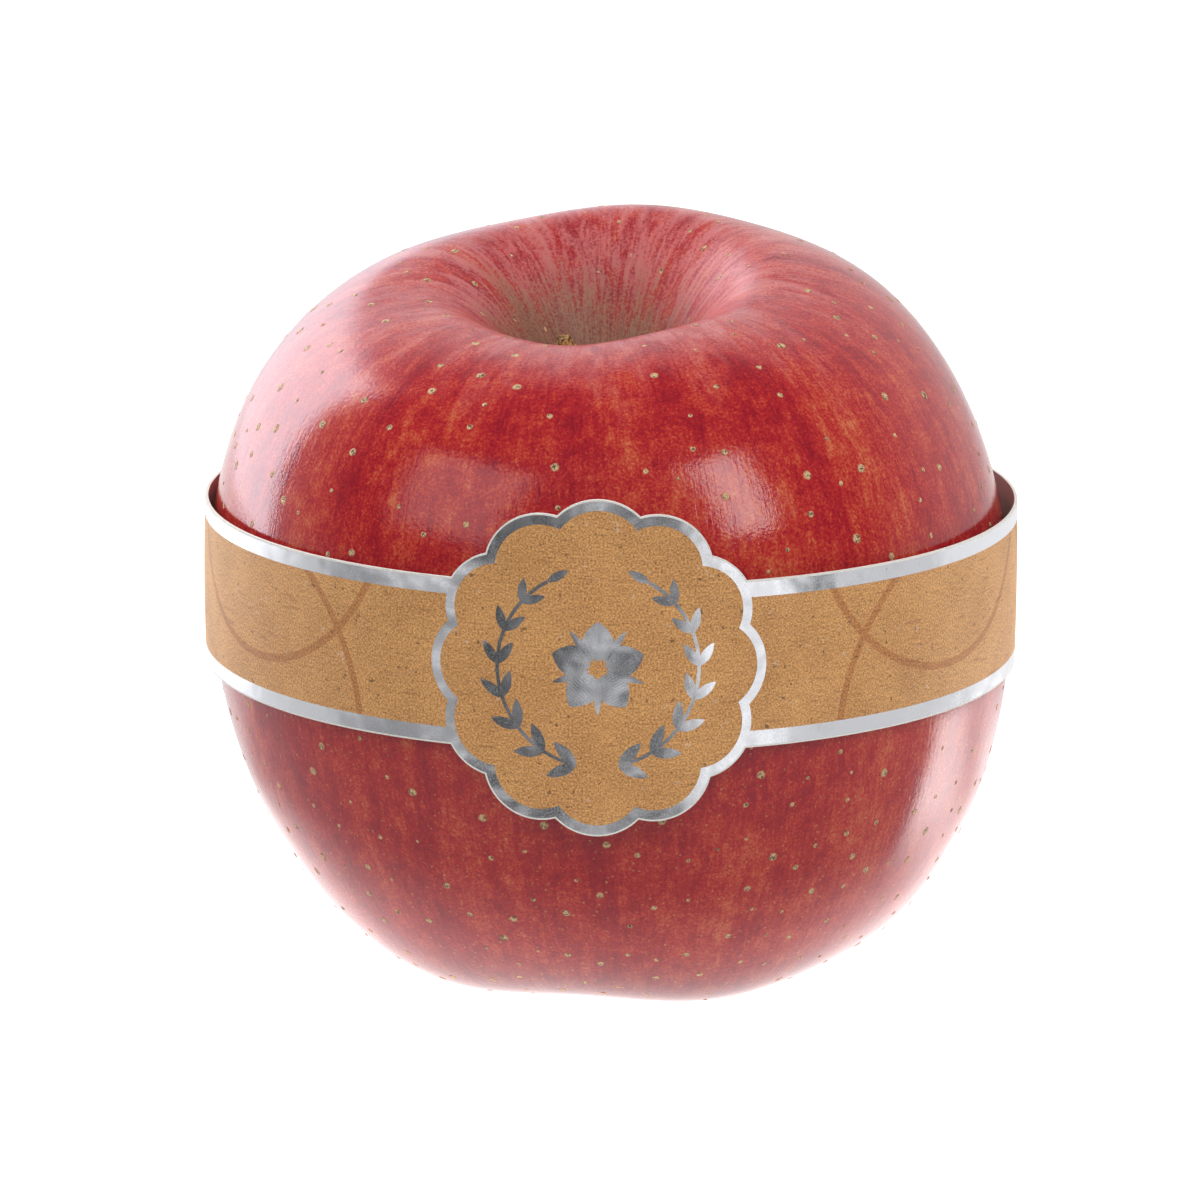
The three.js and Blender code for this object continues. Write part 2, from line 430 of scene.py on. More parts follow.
def makeCork():
    look = corkLook
    material, tree = newShader("lenticelCork")
    place = objectPlace(tree)
    reach = output(tree, "ShaderNodeAttribute", key="Fac", attribute_name="spotReach")
    grain = fibreOn(place, *look["grain"])[0]
    tear = noise(place, 2400.0, 2.0, 0.6)
    colour = blend(ramp(grain, 0.36, 0.66), look["cork"], look["corkPale"])
    split = ramp(weigh(reach * 0.3, (tear, 2.4), (grain, 2.2)), 0.10, -0.12)
    colour = blend(split, colour, look["crack"])
    colour = blend(ramp(weigh(reach, (grain, 1.1)), 0.62, 0.95), colour, look["rim"])
    return dress(material, colour, look["roughness"], grain, look["relief"])


# printed paper and foil

paperLook = {
    "kraftPale": (0.90, 0.490, 0.178),
    "kraftDark": (0.30, 0.110, 0.029),
    "speck": (0.12, 0.050, 0.022),
    "ringPrint": (0.80, 0.66, 0.58),
    "card": (0.86, 0.84, 0.80),
    "cardDark": (0.74, 0.71, 0.66),
    "cardFleck": (0.5, 0.42, 0.33),
    # the lining: the white card in painted shade, tinted pink by a painted red bounce from the fruit
    "inside": (0.66, 0.56, 0.52),
    "insideDarkShade": (0.54, 0.44, 0.40),
    "kraftGrain": (4400.0, 1000.0),
    "kraftRoughness": (0.44, 0.62),
    "kraftSpecular": 0.55,
    "cardGrain": (3200.0, 1500.0),
    "cardRoughness": 0.8,
    "ringWidth": 0.9,
    "ringBlur": 0.06,
    "ringFold": 100.0,   # the rings are mirrored at this distance along the strip
    "ringStart": 20.0,   # and begin here, past the badge
    "rings": (((47.0, 17.0), 21.0), ((53.5, -10.5), 24.4)),
    "relief": 0.03 * mm,
}


def ringMask(flat, centre, radius):
    near = vectorCalc("DISTANCE", flat, (centre[0] * mm, centre[1] * mm, 0.0))
    off = calc("ABSOLUTE", near - radius * mm)
    half = paperLook["ringWidth"] / 2
    blur = paperLook["ringBlur"]
    return ramp(off, (half + blur) * mm, (half - blur) * mm)


def makeKraft():
    look = paperLook
    material, tree = newShader("kraftPrint")
    flat = output(tree, "ShaderNodeUVMap", uv_map="bandFlat")
    grain, dark, pale = fibreOn(flat, *look["kraftGrain"])
    cloud = noise(flat, 120.0, 3.0, 0.6)
    threads = noise(vectorCalc("MULTIPLY", flat, (0.22, 1.0, 1.0)), 2400.0, 3.0, 0.6)
    strands = noise(vectorCalc("MULTIPLY", flat, (0.14, 1.0, 1.0)), 1500.0, 1.0)
    tone = weigh(0.5, (grain, 2.2), (cloud, 0.4), (threads, 0.3))
    colour = blend(ramp(tone, 0.12, 0.88, smooth=False), look["kraftDark"], look["kraftPale"])
    colour = blend(dark * 0.75, colour, look["speck"])
    colour = blend(pale * 0.2, colour, look["card"])
    colour = blend(ramp(strands, 0.66, 0.74, 0.0, 0.4), colour, look["kraftDark"])
    # faint crossing rings, the same on both sides of the badge
    along, across, none = separate(flat)
    folded = combine(calc("PINGPONG", along, look["ringFold"] * mm), across, 0.0)
    rings = 0.0
    for middle, radius in look["rings"]:
        rings = calc("MAXIMUM", rings, ringMask(folded, middle, radius))
    start = look["ringStart"] * mm
    outside = ramp(calc("ABSOLUTE", along), start, start + 0.4 * mm)
    printed = blend(1.0, colour, look["ringPrint"], "MULTIPLY")
    colour = blend(rings * outside, colour, printed)
    relief = weigh(0.0, (grain, 1.0), (threads, 0.2))
    roughness = ramp(grain, 0.3, 0.7, *look["kraftRoughness"])
    gloss = {"Specular IOR Level": look["kraftSpecular"]}
    return dress(material, colour, roughness, relief, look["relief"], **gloss)


def makeCard(name, pale, dark):
    material, tree = newShader(name)
    grain, fleck, none = fibreOn(objectPlace(tree), *paperLook["cardGrain"])
    colour = blend(ramp(grain, 0.3, 0.7), dark, pale)
    colour = blend(fleck * 0.3, colour, paperLook["cardFleck"])
    return dress(material, colour, paperLook["cardRoughness"], grain, paperLook["relief"])


foilLook = {
    "silver": (0.76, 0.765, 0.80),
    "scuffed": (0.60, 0.59, 0.60),
    "rippleScale": 150.0,
    "dustScale": 5200.0,
    "scuffScale": 1500.0,
    "roughness": (0.13, 0.28),
    "relief": 0.3 * mm,
}


def makeFoil():
    look = foilLook
    material, tree = newShader("silverFoil")
    place = objectPlace(tree)
    ripple = noise(place, look["rippleScale"])
    dust = noise(place, look["dustScale"], 2.0, 0.6)
    scuff = ramp(noise(place, look["scuffScale"], 3.0, 0.7), 0.62, 0.75) * 0.4
    colour = blend(scuff, look["silver"], look["scuffed"])
    roughness = ramp(dust + scuff, 0.3, 0.9, *look["roughness"])
    return dress(material, colour, roughness, ripple + dust * 0.012, look["relief"], Metallic=1.0)


# stalk and sepals

stalkLook = {
    "bark": (0.24, 0.115, 0.04),
    "gold": (0.56, 0.30, 0.09),
    "deep": (0.045, 0.02, 0.009),
    "tipStart": 72.5 * mm,
    "tipEnd": 75.2 * mm,
    "grain": (2400.0, 1400.0),
    "roughness": 0.75,
    "relief": 0.18 * mm,
}
sepalLook = {
    "dark": (0.07, 0.038, 0.018),
    "brown": (0.26, 0.17, 0.08),
    "dry": (0.36, 0.30, 0.17),
    "grain": (1800.0, 1300.0),
    "roughness": 0.85,
    "relief": 0.2 * mm,
}


def makeStalk():
    look = stalkLook
    material, tree = newShader("stalkBark")
    place = objectPlace(tree)
    grain, dark, none = fibreOn(vectorCalc("MULTIPLY", place, (1.0, 1.0, 0.6)), *look["grain"])
    colour = blend(ramp(grain, 0.35, 0.65), look["deep"], look["bark"])
    tip = ramp(separate(place)[2], look["tipStart"], look["tipEnd"])
    colour = blend(tip * ramp(grain, 0.44, 0.6), colour, look["gold"])
    colour = blend(dark * 0.7, colour, look["deep"])
    return dress(material, colour, look["roughness"], grain, look["relief"])


def makeSepal():
    look = sepalLook
    material, tree = newShader("drySepal")
    grain, none, pale = fibreOn(objectPlace(tree), *look["grain"])
    colour = blend(ramp(grain, 0.3, 0.7), look["dark"], look["brown"])
    colour = blend(pale * 0.5, colour, look["dry"])
    return dress(material, colour, look["roughness"], grain, look["relief"])


skin = makeSkin()
cork = makeCork()
kraft = makeKraft()
card = makeCard("bareCard", paperLook["card"], paperLook["cardDark"])
# the same card again in painted shade with a painted red bounce, for the inside of the band
shadedLining = makeCard("cardLiningPaintedShade", paperLook["inside"], paperLook["insideDarkShade"])
foil = makeFoil()
stalk = makeStalk()
sepal = makeSepal()
print("finishes made")


# apple: the half section turned and grown by one rule

appleGrowth = {
    "Turn Steps": 240,
    "Section Steps": 190,
    "Half Width": 48.0 * mm,
    "Equator": 44.0 * mm,
    "Crest": 83.3 * mm,
    "Lobes": 5,
    "Lobe Angle": radians(6.0),
    "Lobe Bulge": 0.5 * mm,
    "Base Valley": 0.9 * mm,
    "Crest Valley": 0.6 * mm,
    "Shoulder Lift": 4.2 * mm,
    "Shoulder Angle": radians(72.0),
    "Top Lean": -0.033,
    "Calm Radius": 3.0 * mm,
    "Grown Radius": 9.0 * mm,
    "Dimple": 0.16 * mm,
    "Dimple Size": 85.0,
    "section": (   # radius and height, then the handles before and after, in millimetres
        ((0.0, 9.5), (0.0, 9.5), (1.0, 9.5)),
        ((3.0, 9.5), (2.0, 9.5), (7.0, 9.5)),
        ((18.3, -0.4), (11.3, -0.4), (19.2, -0.4)),
        ((20.9, -0.4), (20.0, -0.4), (36.7, -0.4)),
        ((48.0, 44.0), (48.0, 23.4), (48.0, 66.0)),
        ((21.2, 83.3), (37.5, 83.3), (12.0, 83.3)),
        ((1.8, 65.0), (6.3, 65.0), (1.2, 65.0)),
        ((0.0, 65.0), (0.6, 65.0), (0.0, 65.0)),
    ),
}


def growApple(tree, size):
    grid = addNode(tree, "GeometryNodeMeshGrid", {
        "Size X": 1.0, "Size Y": 1.0,
        "Vertices X": size["Turn Steps"] + 1, "Vertices Y": size["Section Steps"] + 1})
    across, up, none = separate(readPosition(tree))
    angle = (across + 0.5) * fullTurn
    along = calc("ADD", up, 0.5, clamp=True)
    sockets = {"Curves": size["Geometry"], "Factor": along}
    section = output(
        tree, "GeometryNodeSampleCurve", sockets, "Position", mode="FACTOR", use_all_curves=True)
    radius, none, height = separate(section)
    cosine = calc("COSINE", angle)
    sine = calc("SINE", angle)
    # lobes below, valleys at both ends, a lifted far shoulder and a lean
    away = ramp(radius, size["Calm Radius"], size["Grown Radius"])
    low = ramp(height, size["Equator"], 0.0, smooth=False)
    high = ramp(height, size["Equator"], size["Crest"], smooth=False)
    lobe = calc("COSINE", (angle - size["Lobe Angle"]) * size["Lobes"])
    valley = lobe * -0.5 + 0.5
    bulge = away * lobe * low ** 2 * size["Lobe Bulge"] / size["Half Width"]
    wide = radius * (bulge + 1.0)
    lean = (height - size["Equator"]) * size["Top Lean"]
    base = size["Base Valley"] * valley * low ** 4
    crest = size["Crest Valley"] * valley * high ** 4
    lift = size["Shoulder Lift"] * calc("COSINE", angle - size["Shoulder Angle"]) * high ** 2
    z = calc("MAXIMUM", (base - crest + lift) * away + height, 0.0)
    grown = store(grid, "skinGrain", "FLOAT_VECTOR", combine(cosine, sine, along))
    grown = move(grown, "Position", combine(wide * cosine + lean, wide * sine, z))
    weld = addNode(tree, "GeometryNodeMergeByDistance", {"Geometry": grown, "Distance": 0.01 * mm})
    # shallow dimples, none at the foot
    here = readPosition(tree)
    rough = (noise(here, size["Dimple Size"]) - 0.8) * ramp(separate(here)[2], 0.5 * mm, 8.0 * mm)
    return pushOut(weld, rough * size["Dimple"])


def sectionCurve():
    points = appleGrowth["section"]
    curve = bpy.data.curves.new("halfSection", "CURVE")
    curve.dimensions = "3D"
    curve.resolution_u = 64
    spline = curve.splines.new("BEZIER")
    spline.bezier_points.add(len(points) - 1)
    for knot, places in zip(spline.bezier_points, points):
        knot.handle_left_type = "FREE"
        knot.handle_right_type = "FREE"
        knot.co, knot.handle_left, knot.handle_right = [(r * mm, 0.0, h * mm) for r, h in places]
    return curve


apple = runTree("appleFlesh", sectionCurve(), growApple, appleGrowth, skin)
print("apple grown:", len(apple.data.polygons), "faces")


# lenticels: cork spots scattered over the skin, fewer above

lenticels = {
    "Least Gap": 3.4 * mm,
    "Most": 90000.0,
    "Share Above": 0.62,
    "Share Below": 1.0,
    "Size Above": 0.60 * mm,
    "Size Below": 0.58 * mm,
    "Rise": 0.045 * mm,
    "Ragged": 0.40 * mm,
    "Seed": 11,
}


def growLenticels(tree, size):
    named = addNode(
        tree, "GeometryNodeInputNamedAttribute", {"Name": "skinGrain"}, data_type="FLOAT_VECTOR")
    along = separate(Wire(tree, named.outputs["Attribute"]))[2]
    above = ramp(along, 0.34, 0.52)
    share = ramp(above, 0.0, 1.0, size["Share Below"], size["Share Above"], smooth=False)
    # none on the cavity floor or at the foot
    foot = calc("ABSOLUTE", along - 0.13)
    share = share * ramp(along, 0.985, 0.97) * ramp(foot, 0.03, 0.05)
    spread = addNode(tree, "GeometryNodeDistributePointsOnFaces", distribute_method="POISSON", sockets={
        "Mesh": size["Geometry"], "Distance Min": size["Least Gap"], "Density Max": size["Most"],
        "Density Factor": share, "Seed": size["Seed"]})
    # one spot: a low dome with a sunken middle
    spot = addNode(tree, "GeometryNodeMeshCone", fill_type="NONE", sockets={
        "Vertices": 12, "Side Segments": 3, "Radius Top": 0.0, "Radius Bottom": 1.0, "Depth": 1.0})
    x, y, none = separate(readPosition(tree))
    reach = vectorCalc("LENGTH", combine(x, y, 0.0))
    dome = ramp(reach, 0.0, 0.5, 0.2, 1.0) - ramp(reach, 0.6, 1.0, 0.0, 1.6)
    spot = move(store(spot, "spotReach", "FLOAT", reach), "Position", combine(x, y, dome))
    # laid on the skin, drawn out along the fruit where the cavity steepens
    align = "FunctionNodeAlignRotationToVector"
    lay = addNode(tree, align, {"Vector": spread.outputs["Normal"]}, axis="Z")
    comb = addNode(tree, align, {"Rotation": lay, "Vector": (0.0, 0.0, 1.0)}, axis="Y", pivot_axis="Z")
    chance = randomValue(tree, 0.0, 1.0, size["Seed"])
    wide = ramp(above, 0.0, 1.0, size["Size Below"], size["Size Above"], smooth=False)
    wide = wide * ramp(chance, 0.0, 1.0, 0.45, 1.15, smooth=False) * ramp(along, 0.78, 0.92, 1.0, 0.6)
    drawn = ramp(along, 0.80, 0.93, 1.0, 1.7)
    copies = addNode(tree, "GeometryNodeInstanceOnPoints", {
        "Points": spread, "Instance": spot, "Rotation": comb,
        "Scale": combine(wide / drawn ** 0.4, wide * drawn, size["Rise"])})
    loose = addNode(tree, "GeometryNodeRealizeInstances", {0: copies})
    # torn, mostly within the skin
    tear = vectorCalc("SUBTRACT", noise(readPosition(tree), 2600.0, key=1), (0.5, 0.5, 0.5))
    outward = output(tree, "GeometryNodeInputNormal")
    rise = vectorCalc("DOT_PRODUCT", tear, outward) * 0.8
    tear = vectorCalc("SUBTRACT", tear, vectorCalc("MULTIPLY", outward, even(rise)))
    return move(loose, "Offset", vectorCalc("MULTIPLY", tear, even(size["Ragged"])))


spots = runTree("lenticelSpots", apple.data, growLenticels, lenticels, cork)
print("lenticels scattered:", len(spots.data.polygons), "faces")


# paper band: a flat strip with a scalloped badge, wrapped round the fruit, in millimetres

band = {
    "height": 46.8,
    "width": 19.6,
    "radius": 48.3,
    "thickness": 0.35,
    "tiltDeg": 0.3,
    "turnDeg": -1.8,
    "badgeRadius": 19.7,
    "badgeLobes": 12,
    "badgeLobeRadius": 6.6,
    "lapLength": 14.0,
    "lapRamp": 12.0,
    "lapStep": 0.45,
    "bow": 0.2,
    "bowStart": 16.0,
    "bowFull": 34.0,
    "margin": 0.2,
    "edgeFoil": 1.75,
    "badgeFoil": 1.1,
    "foilLift": 0.012,
    "foilDepth": 0.05,
    "acrossSteps": 10,
    "foilSteps": 3,
    "lobeSteps": 18,
    "columnStep": 0.8,
    "edgeSteps": 190,
    "badgeSteps": 576,
}

bandPlace = (
    Matrix.Translation((0.0, 0.0, band["height"] * mm))
    @ Matrix.Rotation(radians(band["tiltDeg"]), 4, "Y")
    @ Matrix.Rotation(radians(band["turnDeg"]), 4, "Z")
)
halfLoop = pi * band["radius"]
bandEnd = halfLoop + band["lapLength"] / 2
lobeRing = band["badgeRadius"] - band["badgeLobeRadius"]
lobePitch = fullTurn / band["badgeLobes"]


def smoothStep(value, low, high):
    t = min(1.0, max(0.0, (value - low) / (high - low)))
    return t * t * (3 - 2 * t)


def onRing(radius, angle):
    return radius * cos(angle), radius * sin(angle)


def wrap(along, across, lift):
    # a point of the flat strip to its place round the fruit
    lap = halfLoop - band["lapLength"] / 2
    out = band["lapStep"] * smoothStep(along, lap - band["lapRamp"], lap)
    angle = along / band["radius"]
    wave = 0.75 + 0.25 * sin(3 * angle + 0.6)
    wave *= smoothStep(abs(along), band["bowStart"], band["bowFull"])
    out -= band["bow"] * wave * min(1.0, abs(across) / (band["width"] / 2)) ** 2
    radius = band["radius"] + out + lift
    return bandPlace @ (Vector((radius * sin(angle), -radius * cos(angle), across)) * mm)


def lobeOutline(angle, inset):
    reach = band["badgeLobeRadius"] - inset
    x, y = onRing(lobeRing, angle - lobePitch * round(angle / lobePitch))
    return x + sqrt(reach ** 2 - y ** 2)


def stripEdge(along, inset):
    # half height of the strip, badge lobes included
    reach = band["badgeLobeRadius"] - inset
    top = band["width"] / 2 - inset
    for k in range(band["badgeLobes"] // 2):
        x, y = onRing(lobeRing, k * lobePitch)
        for middle in (x, -x):
            room = reach ** 2 - (along - middle) ** 2
            if room > 0:
                top = max(top, y + sqrt(room))
    return top


def stripColumns():
    # where the strip's columns stand: even steps round each lobe, then along the band
    reach = band["badgeLobeRadius"]
    half = band["width"] / 2
    steps = band["lobeSteps"]
    cusp = lobeOutline(lobePitch / 2, 0.0)
    places = []
    for k in range(1, band["badgeLobes"] // 4 + 1):
        x, y = onRing(lobeRing, k * lobePitch)
        low = onRing(cusp, (k - 0.5) * lobePitch)
        high = onRing(cusp, (k + 0.5) * lobePitch)
        start = asin((half - y) / reach) if low[1] < half else atan2(low[1] - y, low[0] - x)
        stop = atan2(high[1] - y, high[0] - x)
        places += [x + reach * cos(start + (stop - start) * i / steps) for i in range(steps)]
    places = [s for s in places if s > band["margin"]]
    joint = max(places)
    count = round((bandEnd - joint) / band["columnStep"])
    places += [joint + (bandEnd - joint) * i / count for i in range(1, count + 1)]
    places.sort()
    return [-s for s in reversed(places)] + [0.0] + places


def makeBand():
    columns = stripColumns()
    steps = band["acrossSteps"]
    shape = bmesh.new()
    flat = shape.loops.layers.uv.new("bandFlat")
    where = {}
    grids = []
    for lift in (band["thickness"], 0.0):
        grids.append([])
        for s in columns:
            edge = stripEdge(s, 0.0)
            inside = stripEdge(s, band["margin"])
            line = []
            for h in [-edge] + [inside * (2 * i / steps - 1) for i in range(steps + 1)] + [edge]:
                point = shape.verts.new(wrap(s, h, lift))
                where[point] = (s * mm, h * mm)
                line.append(point)
            grids[-1].append(line)
    above, below, rim = closeSheet(shape, *grids)
    # kraft outside with a bare rim, lining inside in painted shade with a painted red bounce, cut card all
    # round
    across = len(grids[0][0]) - 1
    for i, face in enumerate(above):
        face.material_index = 1 if i % across in (0, across - 1) else 0
    for face in below:
        face.material_index = 2
    for face in rim:
        face.material_index = 1
    for face in shape.faces:
        for loop in face.loops:
            loop[flat].uv = where[loop.vert]
    sharpRims(shape)
    return meshPiece("paperStrip", bakeMesh("paperStrip", shape, kraft, card, shadedLining))


def addFilm(shape, rows, ring):
    # a thin film from rows of flat points, its underside pressed into the paper
    top = band["thickness"] + band["foilLift"]
    layers = []
    for lift in (top, top - band["foilDepth"]):
        layers.append([[shape.verts.new(wrap(s, h, lift)) for s, h in line] for line in zip(*rows)])
    closeSheet(shape, *layers, ring)


def makeFoilEdges():
    shape = bmesh.new()
    margin = band["margin"]
    steps = band["foilSteps"]
    # round the badge
    turns = [fullTurn * i / band["badgeSteps"] for i in range(band["badgeSteps"])]
    rows = []
    for i in range(steps + 1):
        inset = margin + band["badgeFoil"] * (1 - i / steps)
        rows.append([onRing(lobeOutline(angle, inset), angle) for angle in reversed(turns)])
    addFilm(shape, rows, True)
    # along both edges of the band, from the badge to each end
    x, y = onRing(lobeRing, lobePitch)
    reach = band["badgeLobeRadius"] - margin
    count = band["edgeSteps"]
    for side in (1, -1):
        for level in (1, -1):
            rows = []
            for i in range(steps + 1):
                h = band["width"] / 2 - margin - band["edgeFoil"] * i / steps
                start = x + sqrt(reach ** 2 - (h - y) ** 2)
                line = [(side * (start + (bandEnd - start) * k / count), level * h) for k in range(count + 1)]
                rows.append(line if side * level < 0 else list(reversed(line)))
            addFilm(shape, rows, False)
    bmesh.ops.recalc_face_normals(shape, faces=shape.faces)
    sharpRims(shape)
    return meshPiece("foilEdges", bakeMesh("foilEdges", shape, foil))


paper = makeBand()
foilEdges = makeFoilEdges()
print("band wrapped:", len(paper.data.polygons), "faces, foil edges:", len(foilEdges.data.polygons))


# foil blossom between two leaf sprays on the badge

blossom = {
    "Petals": 5,
    "Petal Length": 4.6 * mm,
    "Petal Width": 3.6 * mm,
    "Petal Start": 0.9 * mm,
    "Leaf Pairs": 7,
    "Leaf Length": 3.7 * mm,
    "Leaf Width": 1.35 * mm,
    "Leaf Tilt": radians(34.0),
    "Spray Radius": 11.6 * mm,
    "Spray Start": radians(-78.0),
    "Spray Sweep": radians(138.0),
    "Sprig Width": 0.42 * mm,
    "Sprig Height": 0.02 * mm,
    "Strip Radius": (band["radius"] + band["thickness"]) * mm,
    "Strip Height": band["height"] * mm,
    "Strip Tilt": radians(band["tiltDeg"]),
    "Strip Turn": radians(band["turnDeg"]),
    "leaf": {"top": 0.012, "under": -0.04, "steps": 14},
}


def leafMesh():
    # one flat leaf of unit length and width, a thin film with pointed ends
    shape = bmesh.new()
    form = blossom["leaf"]
    steps = form["steps"]
    layers = []
    for z in (form["top"] * mm, form["under"] * mm):
        grid = [[shape.verts.new((0.0, 0.0, z))] * 3]
        for i in range(1, steps):
            x = i / steps
            half = 0.5 * sin(pi * x ** 0.9) ** 0.8
            grid.append([shape.verts.new((x, y, z)) for y in (-half, 0.0, half)])
        layers.append(grid + [[shape.verts.new((1.0, 0.0, z))] * 3])
    closeSheet(shape, *layers)
    return bakeMesh("leafBlank", shape)


def growBlossom(tree, size):
    leaf = size["Geometry"]
    index = output(tree, "GeometryNodeInputIndex")
    join = addNode(tree, "GeometryNodeJoinGeometry")
    # petals, and small sepals showing between them
    for offset, width in ((0.0, 1.0), (0.5, 0.26)):
        angle = (index + offset) * fullTurn / size["Petals"] + pi / 2
        start = polar(size["Petal Start"], angle)
        scale = combine(size["Petal Length"], size["Petal Width"] * width, 1.0)
        feed(tree, join.inputs[0], scatter(leaf, size["Petals"], start, combine(0.0, 0.0, angle), scale))
    # a spray on each side: leaves in pairs along an arc, one at its end
    reach = calc("FLOOR", index / 2) / size["Leaf Pairs"]
    hand = calc("MODULO", index, 2) * -2 + 1
    grown = reach * -0.25 + 1
    arc = reach * size["Spray Sweep"] + size["Spray Start"]
    facing = pi / 2 - size["Leaf Tilt"] * hand * (1.0 - calc("GREATER_THAN", reach, 0.99)) + arc
    scale = combine(size["Leaf Length"] * grown, size["Leaf Width"] * grown, 1.0)
    right = (arc, facing, size["Spray Start"])
    left = (pi - arc, pi - facing, pi - (size["Spray Start"] + size["Spray Sweep"]))
    for angle, turn, start in (right, left):
        leaves = size["Leaf Pairs"] * 2 + 1
        place = polar(size["Spray Radius"], angle)
        feed(tree, join.inputs[0], scatter(leaf, leaves, place, combine(0.0, 0.0, turn), scale))
        sprig = addNode(tree, "GeometryNodeCurveArc", mode="RADIUS", sockets={
            "Resolution": 48, "Radius": size["Spray Radius"], "Start Angle": start,
            "Sweep Angle": size["Spray Sweep"]})
        profile = addNode(tree, "GeometryNodeCurvePrimitiveQuadrilateral", mode="RECTANGLE", sockets={
            "Width": size["Sprig Width"], "Height": size["Sprig Height"]})
        feed(tree, join.inputs[0], tube(tree, sprig, profile))
    loose = addNode(tree, "GeometryNodeRealizeInstances", {0: join})
    # wrap the flat drawing round the strip
    along, across, lift = separate(readPosition(tree))
    angle = along / size["Strip Radius"]
    radius = size["Strip Radius"] + lift
    bent = move(loose, "Position", combine(
        radius * calc("SINE", angle), radius * calc("COSINE", angle) * -1, across))
    turned = addNode(tree, "GeometryNodeTransform", {
        "Geometry": bent, "Rotation": combine(0.0, 0.0, size["Strip Turn"])})
    return addNode(tree, "GeometryNodeTransform", {
        "Geometry": turned, "Rotation": combine(0.0, size["Strip Tilt"], 0.0),
        "Translation": combine(0.0, 0.0, size["Strip Height"])})


emblem = runTree("foilBlossom", leafMesh(), growBlossom, blossom, foil, smooth=False)
print("blossom pressed:", len(emblem.data.polygons), "faces")


# stalk: a woody tube along its path, ridged, with a torn end

stem = {
    "Rings": 90,
    "Sides": 28,
    "Radius": 1.0 * mm,
    "Tip Radius": 1.12 * mm,
    "Ridge": 0.16 * mm,
    "Ridge Size": 1500.0,
    "Torn Size": 1300.0,
    "Torn Start": 73.8 * mm,
    "Torn End": 75.2 * mm,
    "path": {"foot": (-0.604, 0.0, 62.6), "length": 12.9, "lean": -5.5, "straight": 2.7, "points": 24},
}


def stemCurve():
    path = stem["path"]
    curve = bpy.data.curves.new("stemPath", "CURVE")
    curve.dimensions = "3D"
    last = path["points"] - 1
    spline = curve.splines.new("POLY")
    spline.points.add(last)
    x, y, z = path["foot"]
    for i, point in enumerate(spline.points):
        rise = path["length"] * i / last
        bent = max(0.0, rise - path["straight"]) / (path["length"] - path["straight"])
        point.co = ((x + path["lean"] * bent ** 1.4) * mm, y * mm, (z + rise) * mm, 1.0)
    return curve


def growStem(tree, size):
    path = addNode(tree, "GeometryNodeResampleCurve", {"Curve": size["Geometry"], "Count": size["Rings"]})
    along = output(tree, "GeometryNodeSplineParameter", key="Factor")
    radius = along ** 3 * (size["Tip Radius"] - size["Radius"]) + size["Radius"]
    radius = radius * ramp(along, 0.955, 1.0, 1.0, 0.35)
    bark = tube(tree, path, circle(tree, size["Sides"], 1.0), radius)
    # ridges run along the stalk, the cut end is torn
    here = readPosition(tree)
    ridges = noise(vectorCalc("MULTIPLY", here, (1.0, 1.0, 0.18)), size["Ridge Size"], 3.0, 0.6)
    torn = noise(here, size["Torn Size"], 3.0, 0.7)
    end = ramp(separate(here)[2], size["Torn Start"], size["Torn End"])
    push = (ridges - 0.5) * 2 + end * (torn - 0.5) * 4
    return pushOut(bark, push * size["Ridge"])


stemPiece = runTree("stemStalk", stemCurve(), growStem, stem, stalk)
print("stalk grown:", len(stemPiece.data.polygons), "faces")


# calyx: dried sepals round a tuft of withered threads

calyx = {
    "Sepals": 5,
    "Root Radius": 1.3 * mm,
    "Root Height": 9.3 * mm,
    "Middle X": 1.1 * mm,
    "Threads": 16,
    "Thread Length": 3.4 * mm,
    "Thread Radius": 0.13 * mm,
    "Knob": 0.8 * mm,
    "Seed": 7,
    "sepal": {
        "length": 6.6,
        "width": 3.2,
        "thickness": 0.35,
        "droopDeg": 50.0,
        "curl": 1.5,
        "rim": 0.06,
        "rows": 14,
        "across": 6,
    },
    "spread": {   # least and most of each random turn and size
        "tilt": (-0.22, 0.16),
        "spin": (-0.16, 0.16),
        "scale": (0.86, 1.04),
        "threadTilt": (-0.5, 0.5),
        "threadSpin": (-0.3, 0.3),
        "threadScale": (0.55, 1.0),
    },
}


def sepalMesh():
    # one sepal: out from its root and down, cupped, with a curled tip
    shape = bmesh.new()
    form = calyx["sepal"]
    rows = form["rows"]
    across = form["across"]
    step = form["length"] / rows
    layers = []
    for side in (0.5, -0.5):
        grid = []
        x = 0.0
        z = 0.0
        for i in range(rows + 1):
            t = i / rows
            slope = radians(form["droopDeg"]) * 1.2 - form["curl"] * max(0.0, t - 0.55)
            half = 0.5 * form["width"] * (1 - t ** 2.2) * (0.75 + 0.5 * t) + form["rim"]
            thick = form["thickness"] * side * (1 - 0.6 * t)
            line = []
            for j in range(across + 1):
                u = 2 * j / across - 1
                cup = 0.22 * half * (u * u) * (1 - 0.5 * t)
                place = (x + thick * sin(slope), u * half, z - cup + thick * cos(slope))
                line.append(shape.verts.new([value * mm for value in place]))
            grid.append(line)
            x += step * cos(slope)
            z -= step * sin(slope)
        layers.append(grid)
    closeSheet(shape, *layers)
    bmesh.ops.recalc_face_normals(shape, faces=shape.faces)
    return bakeMesh("sepalBlank", shape)


def ringOfCopies(item, count, radius, tilt, spin, scale):
    angle = output(radius.tree, "GeometryNodeInputIndex") * fullTurn / count + spin
    return scatter(item, count, polar(radius, angle), combine(0.0, tilt, angle), even(scale))


